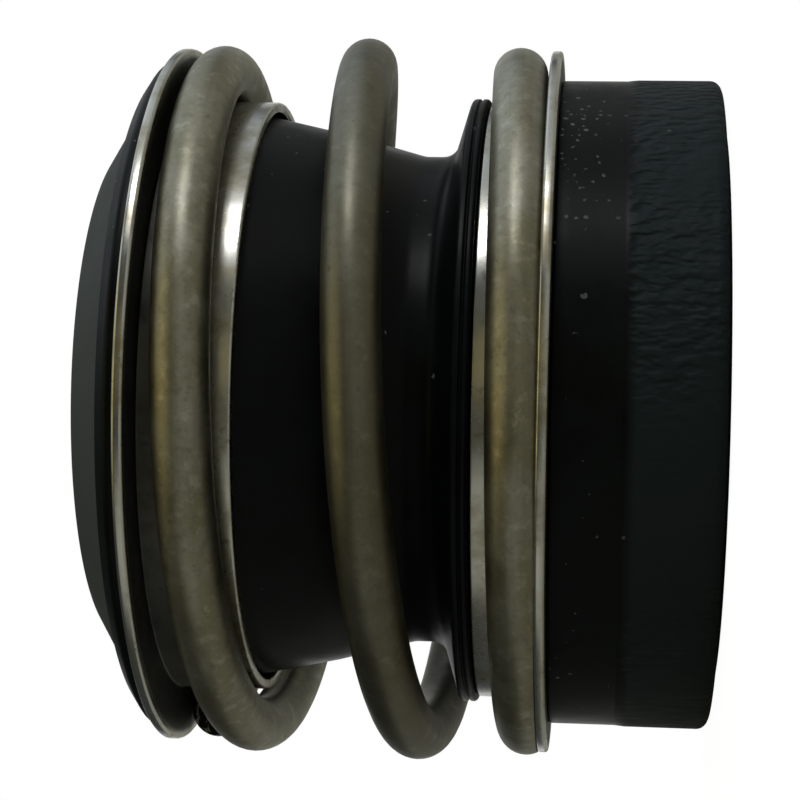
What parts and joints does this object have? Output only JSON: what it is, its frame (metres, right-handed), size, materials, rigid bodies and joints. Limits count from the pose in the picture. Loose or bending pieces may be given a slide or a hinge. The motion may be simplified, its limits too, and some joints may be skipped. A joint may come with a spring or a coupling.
{
  "type": "mechanical shaft seal",
  "caption": "Rubber bellows shaft seal: sprung rubber sleeve with pressed collars and a seal ring that rubs on a flat seat.",
  "frame": {"origin": "centre of the sealing face, where the shaft axis meets the seat", "axes": "+Z along the shaft axis, from the sealing face to the tail that grips the shaft; +X and +Y across it"},
  "size_m": [0.035, 0.035, 0.029],
  "materials": {
    "rubber": "moulded, slightly dusty",
    "collar_steel": "pressed and polished",
    "spring_steel": "dull drawn wire",
    "seal_ring": "lapped hard carbide"
  },
  "bodies": {
    "drive_end": {"tail_collar": "collar_steel", "bellows": "rubber", "spring": "spring_steel"},
    "seal_head": {"seal_ring": "seal_ring", "head_collar": "collar_steel"}
  },
  "joints": [
    {"name": "face_travel", "type": "slide", "parent": "drive_end", "child": "seal_head", "axis": [0, 0, 1], "range_m": [0, 0.004], "stiffness_N_per_m": 7500, "deforming": ["spring", "bellows"]}
  ]
}
